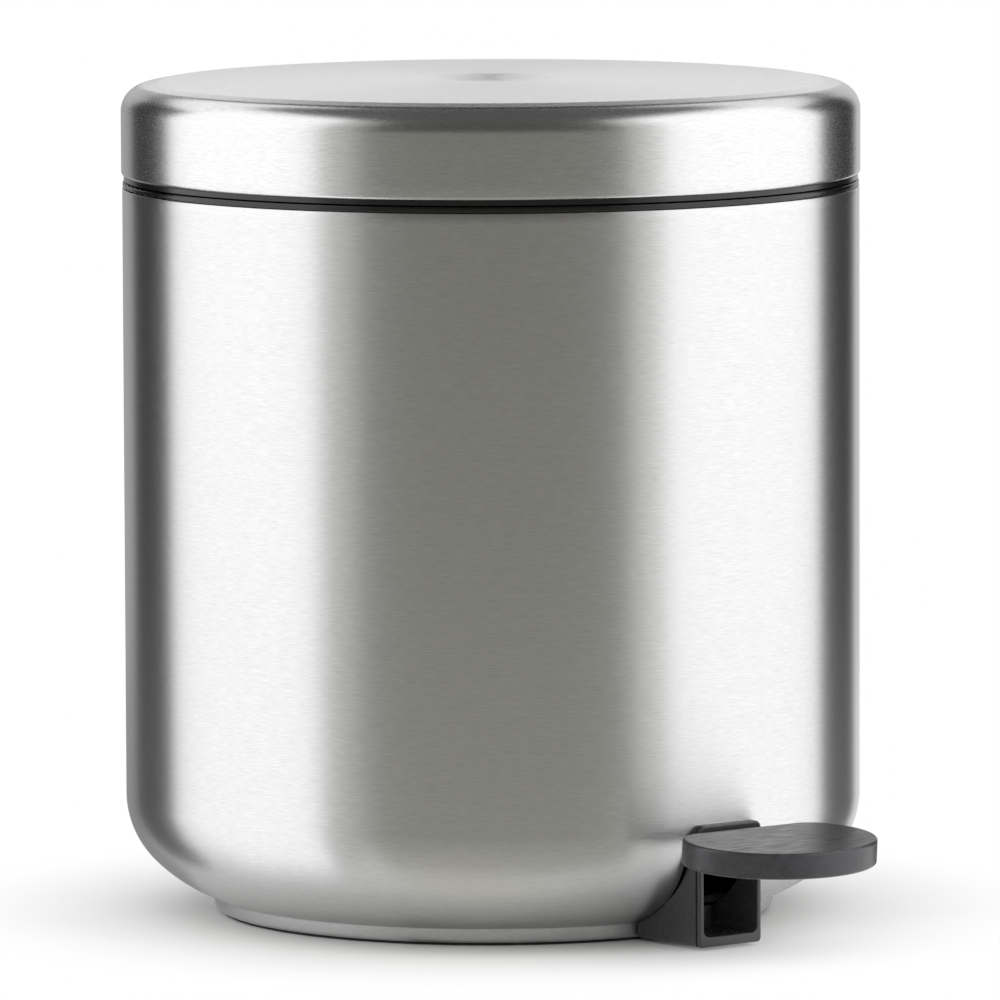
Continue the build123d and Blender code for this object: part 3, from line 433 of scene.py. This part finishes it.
# %% Streaks
def streak_noise(tree, around_axis, across, length_mm, width_mm):
    """Noise with grains length_mm long round the wall and width_mm wide across it."""
    turns = WALL_RADIUS * per_metre(length_mm)
    where = add_node(
        tree,
        "ShaderNodeVectorMath",
        {0: around_axis, 1: (turns, turns, 0), 2: across},
        operation="MULTIPLY_ADD",
    )
    lifted = add_node(
        tree,
        "ShaderNodeVectorMath",
        {0: where.outputs["Vector"], 1: (1, 1, per_metre(width_mm))},
        operation="MULTIPLY",
    )
    return add_node(
        tree, "ShaderNodeTexNoise", {"Vector": lifted.outputs["Vector"], "Scale": 1.0, "Detail": 3.0}
    )


# Real scratches are a few hundredths of a millimetre wide, too fine to show in the render, so both
# kinds of streak are drawn as coarse as they need to show. Length and width are in millimetres.
STREAK = (3.0, 0.13)
STREAK_BAND = (20.0, 0.6)
print(f"single streaks of {STREAK} mm, gathered in bands of {STREAK_BAND} mm")

# %% [markdown]
# ## Brushed stainless steel
# Each scratch spreads a reflection across itself, so the lights smear up and down the wall and stay
# narrow round it. An anisotropic metal does that, if it knows which way the scratches run, and the
# tangent of the UV map tells it. The streaks change the tone a little, and the stronger ones are
# rougher too. In the middle of the lid the brushing wheel turns on the spot and leaves an eye: rays
# of rougher steel that fade out a finger's width from the axis. The lid is smoother than the wall.

# %% Brushed steel
STREAK_BAND_SHARE = 0.12
SCRATCH_DEPTH = 0.02 * MM
STRONG_STREAKS = (0.45, 0.8)  # noise values between which a streak gets rougher
LID_EYE = (2 * MM, 22 * MM)  # radii between which the eye fades out
LID_EYE_ROUGHNESS = 0.28
LID_EYE_RAYS = 2.5  # noise scale on the direction from the axis, whose length is 1


def brushed_steel(name, smear, smooth, rough):
    """Stainless sheet with scratches round the axis: smeared lights and fine level streaks.

    Smear, from 0 to 1, is how much more a light spreads across the scratches than along them. Smooth
    and rough are the roughness between the streaks and in the strongest of them.
    """
    material, tree, shader = new_finish(
        name, {"Metallic": 1.0, "Anisotropic": smear, "Anisotropic Rotation": 0.25}
    )
    place = add_node(tree, "ShaderNodeTexCoord")
    flat = add_node(
        tree, "ShaderNodeVectorMath", {0: place.outputs["Object"], 1: (1, 1, 0)}, operation="MULTIPLY"
    )
    outward = add_node(tree, "ShaderNodeVectorMath", {0: flat.outputs["Vector"]}, operation="NORMALIZE")
    own = add_node(tree, "ShaderNodeUVMap", uv_map="brushing")
    profile = add_node(tree, "ShaderNodeSeparateXYZ", {"Vector": own.outputs["UV"]})
    across = add_node(tree, "ShaderNodeCombineXYZ", {"Z": profile.outputs["Y"]})
    sockets = outward.outputs["Vector"], across.outputs["Vector"]
    dashes = streak_noise(tree, *sockets, *STREAK)
    bands = streak_noise(tree, *sockets, *STREAK_BAND)
    streaks = add_node(
        tree,
        "ShaderNodeMix",
        {"Factor": STREAK_BAND_SHARE, "A": dashes.outputs["Fac"], "B": bands.outputs["Fac"]},
        data_type="FLOAT",
    )
    tone = add_node(
        tree,
        "ShaderNodeMix",
        {"Factor": streaks.outputs["Result"], "A": to_linear("#adadad"), "B": to_linear("#e6e6e6")},
        data_type="RGBA",
    )
    gloss = add_node(
        tree,
        "ShaderNodeMapRange",
        {
            "Value": streaks.outputs["Result"],
            "From Min": STRONG_STREAKS[0],
            "From Max": STRONG_STREAKS[1],
            "To Min": smooth,
            "To Max": rough,
        },
        interpolation_type="SMOOTHSTEP",
    )
    eye = add_node(
        tree,
        "ShaderNodeMapRange",
        {
            "Value": profile.outputs["Y"],
            "From Min": LID_EYE[0],
            "From Max": LID_EYE[1],
            "To Min": LID_EYE_ROUGHNESS,
            "To Max": 0,
        },
        interpolation_type="SMOOTHSTEP",
    )
    rays = add_node(
        tree,
        "ShaderNodeTexNoise",
        {"Vector": outward.outputs["Vector"], "Scale": LID_EYE_RAYS, "Detail": 3.0},
    )
    roughness = add_node(
        tree,
        "ShaderNodeMath",
        {0: eye.outputs["Result"], 1: rays.outputs["Fac"], 2: gloss.outputs["Result"]},
        operation="MULTIPLY_ADD",
    )
    bump = add_node(
        tree,
        "ShaderNodeBump",
        {"Height": streaks.outputs["Result"], "Strength": 0.1, "Distance": SCRATCH_DEPTH},
    )
    grain = add_node(tree, "ShaderNodeTangent", direction_type="UV_MAP", uv_map="brushing")
    connect(
        tree,
        shader,
        {
            "Base Color": tone.outputs["Result"],
            "Roughness": roughness.outputs["Value"],
            "Normal": bump.outputs["Normal"],
            "Tangent": grain.outputs["Tangent"],
        },
    )
    return material


# The wall's lights run up and down it as tall soft bands. The lid's keep more of their shape.
wall_steel = brushed_steel("brushed_stainless_wall", smear=0.75, smooth=0.3, rough=0.38)
lid_steel = brushed_steel("brushed_stainless_lid", smear=0.4, smooth=0.255, rough=0.3)
print(f"{wall_steel.name}, {lid_steel.name}: {len(wall_steel.node_tree.nodes)} nodes each")

# %% [markdown]
# ## Turned sheet metal
# The body and the lid are sheet metal turned about one axis. Each is a profile carried round the
# axis: a grid of points with one row for each point of the profile and one column for each angle.
# Blender's Spin or Screw could turn a drawn outline too, but a grid of numbers also gives the UV map,
# and where the sheet has an opening, that block of the grid is simply left out.

# %% Profiles and turned skins
def arc(centre, radius, start, end, count):
    """Points on a circle about centre in the (radius, height) plane, from start to end in degrees."""
    angle = np.radians(np.linspace(start, end, count))
    return np.stack([centre[0] + radius * np.cos(angle), centre[1] + radius * np.sin(angle)], 1)


def line(start, end, count):
    """Points spaced evenly on a straight run, without its two ends."""
    share = np.linspace(0, 1, count + 2)[1:-1, None]
    return (1 - share) * np.array(start) + share * np.array(end)


def turned_skin(name, profile, angles, open_cells, pole=None):
    """Carry an open profile of (radius, height) points round the Z axis, at each of the angles.

    A point is (radius cos angle, radius sin angle, height), and the cells between rows and columns
    are faces, but for the open ones. A pole is a height on the axis where the first row closes in a
    fan. The UV map holds the share of a turn and the length along the profile, which starts at the
    first point's radius, so that on the lid it is the distance from the axis.
    """
    columns = len(angles)
    points = np.stack(
        [
            np.outer(profile[:, 0], np.cos(angles)),
            np.outer(profile[:, 0], np.sin(angles)),
            np.repeat(profile[:, 1:], columns, 1),
        ],
        2,
    ).reshape(-1, 3)
    row, column = np.nonzero(~open_cells)
    after = (column + 1) % columns
    faces = np.stack([row * columns + column, (row + 1) * columns + column], 1)
    faces = np.concatenate([faces, np.stack([(row + 1) * columns + after, row * columns + after], 1)], 1)
    length = profile[0, 0] + np.append(0, np.cumsum(np.linalg.norm(np.diff(profile, axis=0), axis=1)))
    turn = np.append(angles, angles[0] + 2 * np.pi) / (2 * np.pi)
    uv = np.stack([turn[column + [[0], [0], [1], [1]]], length[row + [[0], [1], [1], [0]]]], 2).swapaxes(0, 1)
    faces, uv = faces.tolist(), uv.reshape(-1, 2)
    if pole is not None:
        fan = np.arange(columns)
        top = np.full(columns, len(points))
        points = np.append(points, [(0, 0, pole)], 0)
        faces = faces + np.stack([top, fan, (fan + 1) % columns], 1).tolist()
        fan_turn = np.stack([(turn[:-1] + turn[1:]) / 2, turn[:-1], turn[1:]], 1)
        fan_length = np.broadcast_to([0, length[0], length[0]], fan_turn.shape)
        uv = np.append(uv, np.stack([fan_turn, fan_length], 2).reshape(-1, 2), 0)
    mesh = bpy.data.meshes.new(name)
    mesh.from_pydata(points.tolist(), [], faces)
    mesh.uv_layers.new(name="brushing").uv.foreach_set("vector", uv.ravel().astype(np.float32))
    mesh.polygons.foreach_set("use_smooth", np.ones(len(mesh.polygons), bool))
    made = bpy.data.objects.new(name, mesh)
    scene.collection.objects.link(made)
    print(f"{name}: {len(mesh.polygons)} faces")
    return made


print("a quarter of a circle:", arc((0, 0), 1, 0, 90, count=3).round(2).tolist())

# %% [markdown]
# ## Sheet thickness
# A skin has no thickness yet. The Solidify modifier gives it the sheet's, inwards, and closes the
# edges, and a small bevel lets the cut edges catch the light. The finished piece stands for its CAD
# node and rides that node's body.

# %% Sheet thickness
SHEET = 0.7 * MM
EDGE_ROUND = 0.2 * MM
EDGE_ANGLE = math.radians(50)  # sharper edges than this are rounded


def sheet_metal(skin, steel, body, node):
    """Give a skin the sheet's thickness inwards and rounded edges, and let it stand for its node."""
    thick = skin.modifiers.new("sheet", "SOLIDIFY")
    thick.thickness = SHEET
    thick.offset = -1
    edge = skin.modifiers.new("edges", "BEVEL")
    edge.limit_method = "ANGLE"
    edge.angle_limit = EDGE_ANGLE
    edge.width = EDGE_ROUND
    edge.segments = 2
    skin.data.materials.append(steel)
    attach(skin, body)
    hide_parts(node)
    print(f"{skin.name}: {steel.name}, in place of {node}")


print(f"sheet of {SHEET / MM} mm, cut edges rounded by {EDGE_ROUND / MM} mm")

# %% [markdown]
# ## Lid
# The lid is a slightly crowned disc with a rounded edge, a short wall and a hem that turns in under
# it. The crown is one large arc. It ends in a fine crease, where the sheet bends down into a narrow
# sloping band, and the band runs on into the edge's arc. The profile starts beside the axis, where a
# fan of triangles closes the top.

# %% Lid
lid_low, lid_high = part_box("lid_shell")
LID_RADIUS = lid_high.x
LID_EDGE = 7.1 * MM
LID_CROWN = 4218.0 * MM  # radius of the crown's arc
CREASE = 90.0 * MM  # radius at which the crown ends
CREASE_ROUND = 2.0 * MM
BAND_SLOPE = 10.0  # degrees
HEM = 1.0 * MM
HEM_WIDTH = 2.6 * MM
LID_COLUMNS = 288
POLE_GAP = 0.02  # degrees of the crown's arc from the axis to the first ring of points

crown_slope = math.degrees(math.asin(CREASE / LID_CROWN))
crown_middle = np.array((0, lid_high.z - LID_CROWN))
crown = arc(crown_middle, LID_CROWN, 90 - POLE_GAP, 90 - crown_slope, count=26)
crease_middle = crown[-1] + (crown_middle - crown[-1]) * CREASE_ROUND / LID_CROWN
crease = arc(crease_middle, CREASE_ROUND, 90 - crown_slope, 90 - BAND_SLOPE, count=5)
brow_x = LID_RADIUS - LID_EDGE
band_run = brow_x + LID_EDGE * math.sin(math.radians(BAND_SLOPE)) - crease[-1, 0]
band_drop = band_run * math.tan(math.radians(BAND_SLOPE))
brow_z = crease[-1, 1] - band_drop - LID_EDGE * math.cos(math.radians(BAND_SLOPE))
brow = arc((brow_x, brow_z), LID_EDGE, 90 - BAND_SLOPE, 0, count=25)
curl = arc((LID_RADIUS - HEM, lid_low.z + HEM), HEM, 0, -90, count=9)
lid_profile = np.concatenate(
    [
        crown,
        crease[1:],
        line(crease[-1], brow[0], count=3),
        brow,
        line(brow[-1], curl[0], count=4),
        curl,
        [(LID_RADIUS - HEM_WIDTH, lid_low.z)],
    ]
)
print(f"crease {crease[0].round(5)}, edge's arc from {brow[0].round(5)}")
lid_angles = np.linspace(0, 2 * np.pi, LID_COLUMNS, endpoint=False)
no_openings = np.zeros((len(lid_profile) - 1, LID_COLUMNS), bool)
lid_skin = turned_skin("lid_skin", lid_profile, lid_angles, no_openings, pole=lid_high.z)
sheet_metal(lid_skin, lid_steel, "lid", "lid_shell")

# %% [markdown]
# ## Body
# The wall runs straight down to a small arc, a larger arc carries it in under the can, and a narrow
# neck turns it down again to the foot, whose flange lies above the floor. Each arc's centre follows
# from the one before it, so that they meet without a kink, which brushed sheet would show at once.

# %% Body
CORNER_RADIUS = 24.5 * MM
CORNER_SWEEP = 45.0  # degrees
SOLE_RADIUS = 42.85 * MM
FOOT_INSET = 24.0 * MM
FOOT_NECK = 4.7 * MM
FOOT_LEAN = 0.6 * MM  # the foot's wall is wider at the neck
NECK_ROUND = 0.8 * MM
FOOT_BEND = 1.2 * MM
FOOT_FLANGE = 10.0 * MM
NOTCH_DEPTH = 8.6 * MM

foot_radius = WALL_RADIUS - FOOT_INSET
corner_x = WALL_RADIUS - CORNER_RADIUS
sole_x = corner_x - (SOLE_RADIUS - CORNER_RADIUS) * math.cos(math.radians(CORNER_SWEEP))
sole_z = FOOT_NECK + math.sqrt(SOLE_RADIUS**2 - (foot_radius - sole_x) ** 2)
corner_z = sole_z - (SOLE_RADIUS - CORNER_RADIUS) * math.sin(math.radians(CORNER_SWEEP))
neck_x = foot_radius + FOOT_LEAN + NECK_ROUND
neck_angle = math.acos((neck_x - sole_x) / (SOLE_RADIUS + NECK_ROUND))
neck_z = sole_z - (SOLE_RADIUS + NECK_ROUND) * math.sin(neck_angle)
neck_degrees = math.degrees(neck_angle)

corner = arc((corner_x, corner_z), CORNER_RADIUS, 0, -CORNER_SWEEP, count=21)
sole = arc((sole_x, sole_z), SOLE_RADIUS, -CORNER_SWEEP, -neck_degrees, count=21)
neck = arc((neck_x, neck_z), NECK_ROUND, 180 - neck_degrees, 180, count=7)
heel = arc((foot_radius - FOOT_BEND, body_low.z + FOOT_BEND), FOOT_BEND, 0, -90, count=7)
wall_top = (WALL_RADIUS, body_high.z)
notch_foot = (WALL_RADIUS, body_high.z - NOTCH_DEPTH)
body_profile = np.concatenate(
    [
        [wall_top],
        line(wall_top, notch_foot, count=2),
        [notch_foot],
        line(notch_foot, corner[0], count=10),
        corner,
        sole[1:],
        neck[1:],
        heel,
        [(foot_radius - FOOT_FLANGE, body_low.z)],
    ]
)
print(f"profile of {len(body_profile)} points, from the rim to the foot's flange")

# %% [markdown]
# ## Body's openings
# The wall has two openings: the window behind the pedal's housing and the notch for the lid's crank
# at the rear. They could be cut with a Boolean, which leaves long thin faces that spoil the shading.
# Here the columns are placed so that an edge of each opening falls on a column. The rows and columns
# of an opening then make a block of cells.

# %% Body's openings
NOTCH_HALF = 8.95 * MM
# The window is cut a little larger than in the solid. The housing covers its edge from outside.
WINDOW_HALF = 9.6 * MM
WINDOW_TOP = 30.5 * MM
WINDOW_INSET = 5.0 * MM  # from the foot's radius out to the window's lower edge
PEDAL_SIDE, HINGE_SIDE = -math.pi / 2, math.pi / 2
OPENING_COLUMNS = 10
WALL_COLUMNS = 140

window_foot = foot_radius + WINDOW_INSET
window_angle = math.asin(WINDOW_HALF / window_foot)
notch_angle = math.asin(NOTCH_HALF / (WALL_RADIUS - SHEET / 2))
stops = [
    PEDAL_SIDE - window_angle,
    PEDAL_SIDE + window_angle,
    HINGE_SIDE - notch_angle,
    HINGE_SIDE + notch_angle,
]
counts = [OPENING_COLUMNS, WALL_COLUMNS] * 2
ends = stops[1:] + [stops[0] + 2 * math.pi]
body_angles = np.concatenate(
    [np.linspace(start, end, count, endpoint=False) for start, end, count in zip(stops, ends, counts)]
)
span = np.repeat(np.arange(len(counts)), counts)
middle = (body_profile[1:] + body_profile[:-1]) / 2
window = np.outer((middle[:, 1] < WINDOW_TOP) & (middle[:, 0] > window_foot), span == 0)
notch = np.outer(middle[:, 1] > notch_foot[1], span == 2)
print(f"window of {window.sum()} cells, notch of {notch.sum()} cells")
body_skin = turned_skin("body_skin", body_profile, body_angles, window | notch)
sheet_metal(body_skin, wall_steel, "body", "body_shell")

# %% [markdown]
# ## Plastics and rubber
# The other pieces keep their CAD shapes. A moulded plastic is never one flat colour: its tone drifts
# a little with the flow in the mould, and the mould's own fine grain breaks up the gloss. Two noises
# of different size give both, and one function makes every moulded finish from them.

# %% Moulded plastic
FLOW_GRAINS = 12  # a flow mark is this many grains across
GRAIN_RANGE = (0.3, 0.7)  # where nearly all of the noise's values lie


def moulded(name, low, high, grain_mm, roughness, depth_mm, stretch=1.0, wear=0.2):
    """Injection-moulded plastic: two close tones and a fine grain, drawn out along X by a factor.

    The grain is depth_mm deep. Wear is the share by which its gloss swings about the roughness.
    """
    material, tree, shader = new_finish(name, {"IOR": 1.5})
    place = add_node(tree, "ShaderNodeTexCoord")
    drawn = add_node(
        tree,
        "ShaderNodeVectorMath",
        {0: place.outputs["Object"], 1: (1 / stretch, 1, 1)},
        operation="MULTIPLY",
    )
    grain = add_node(
        tree,
        "ShaderNodeTexNoise",
        {"Vector": drawn.outputs["Vector"], "Scale": per_metre(grain_mm), "Detail": 2.0, "Roughness": 0.6},
    )
    flow = add_node(
        tree,
        "ShaderNodeTexNoise",
        {"Vector": place.outputs["Object"], "Scale": per_metre(FLOW_GRAINS * grain_mm), "Detail": 3.0},
    )
    mottle = add_node(
        tree,
        "ShaderNodeMix",
        {"Factor": 0.5, "A": grain.outputs["Fac"], "B": flow.outputs["Fac"]},
        data_type="FLOAT",
    )
    tone = add_node(
        tree,
        "ShaderNodeMix",
        {"Factor": mottle.outputs["Result"], "A": to_linear(low), "B": to_linear(high)},
        data_type="RGBA",
    )
    gloss = add_node(
        tree,
        "ShaderNodeMapRange",
        {
            "Value": grain.outputs["Fac"],
            "From Min": GRAIN_RANGE[0],
            "From Max": GRAIN_RANGE[1],
            "To Min": (1 - wear) * roughness,
            "To Max": (1 + wear) * roughness,
        },
    )
    bump = add_node(
        tree, "ShaderNodeBump", {"Height": grain.outputs["Fac"], "Strength": 0.4, "Distance": depth_mm * MM}
    )
    connect(
        tree,
        shader,
        {
            "Base Color": tone.outputs["Result"],
            "Roughness": gloss.outputs["Result"],
            "Normal": bump.outputs["Normal"],
        },
    )
    return material


print(f"flow marks are {FLOW_GRAINS} grains across")

# %% [markdown]
# ## One finish for each plastic
# What differs from piece to piece is the tone, the gloss and the size of the grain. The mould's
# grain is drawn coarser than the real one, which is too fine to show in the render.

# %% Finishes of the plastics
finishes = {
    "brushed_steel": wall_steel,
    # ABS from an etched mould: a soft black, dark grey where light rakes it
    "black_plastic": moulded(
        "black_abs", "#333334", "#434344", grain_mm=0.25, roughness=0.25, depth_mm=0.01
    ),
    # polypropylene rubbed sideways by shoes: dull and shiny streaks side by side
    "pad_plastic": moulded(
        "dark_grey_pp",
        "#0e0e10",
        "#4a4a4f",
        grain_mm=0.25,
        roughness=0.34,
        depth_mm=0.03,
        stretch=25,
        wear=0.6,
    ),
    # polypropylene from a plain mould: an even dark grey with a soft sheen
    "bucket_plastic": moulded(
        "bucket_pp", "#3a3b3c", "#464748", grain_mm=0.5, roughness=0.45, depth_mm=0.02
    ),
    # undyed nylon: a warm white with a waxy sheen
    "nylon": moulded(
        "natural_nylon", "#d4cfc2", "#e6e1d4", grain_mm=0.4, roughness=0.4, depth_mm=0.01
    ),
    # pressed rubber: dull and nearly black, so that it reads as a line of shadow
    "rubber": moulded("black_rubber", "#171717", "#222222", grain_mm=0.3, roughness=0.7, depth_mm=0.02),
}
# ABS from a polished mould: a deep black in which the soft boxes show as bright lines
polished = moulded(
    "polished_black_abs", "#070708", "#0d0d0e", grain_mm=0.4, roughness=0.2, depth_mm=0.002
)
print("plastics and rubber:", [m.name for m in finishes.values()][1:], polished.name)

# %% [markdown]
# ## Plated steel
# The lever, the rod and the screws are zinc-plated, and the bucket's bail is brighter wire. Plating
# is never quite even, so one noise moves its tone and its gloss together.

# %% Plated steel
CLOUD_MM = 3.0
CLOUD_SWING = 0.3  # share by which the gloss swings about the roughness


def plated(name, low, high, roughness):
    """Plated steel: a pale metal with a slight cloudiness in its tone and gloss."""
    material, tree, shader = new_finish(name, {"Metallic": 1.0})
    place = add_node(tree, "ShaderNodeTexCoord")
    cloud = add_node(
        tree,
        "ShaderNodeTexNoise",
        {"Vector": place.outputs["Object"], "Scale": per_metre(CLOUD_MM), "Detail": 4.0},
    )
    tone = add_node(
        tree,
        "ShaderNodeMix",
        {"Factor": cloud.outputs["Fac"], "A": to_linear(low), "B": to_linear(high)},
        data_type="RGBA",
    )
    gloss = add_node(
        tree,
        "ShaderNodeMapRange",
        {
            "Value": cloud.outputs["Fac"],
            "To Min": (1 - CLOUD_SWING) * roughness,
            "To Max": (1 + CLOUD_SWING) * roughness,
        },
    )
    connect(tree, shader, {"Base Color": tone.outputs["Result"], "Roughness": gloss.outputs["Result"]})
    return material


# bright zinc: a bluish grey that blurs what it mirrors
finishes["zinc_steel"] = plated("zinc_plated_steel", "#b4b7bb", "#c9cbcb", roughness=0.32)
# bright plated wire: nearly white, with narrow sharp lights along it
finishes["bail_wire"] = plated("bright_wire", "#cbcbcb", "#dedede", roughness=0.18)
print("plated:", finishes["zinc_steel"].name, finishes["bail_wire"].name)

# %% [markdown]
# ## A finish for every piece
# The record says which finish each piece has, so one loop gives every node its material. The two
# rings in the seam are the same plastic with polished faces.

# %% Finishes on the pieces
for part in frame["record"]["subparts"]:
    nodes[part["node"]].material_slots[0].material = finishes[part["material_slot"]]
for ring in ("lid_ring", "rim_ring"):
    nodes[ring].material_slots[0].material = polished
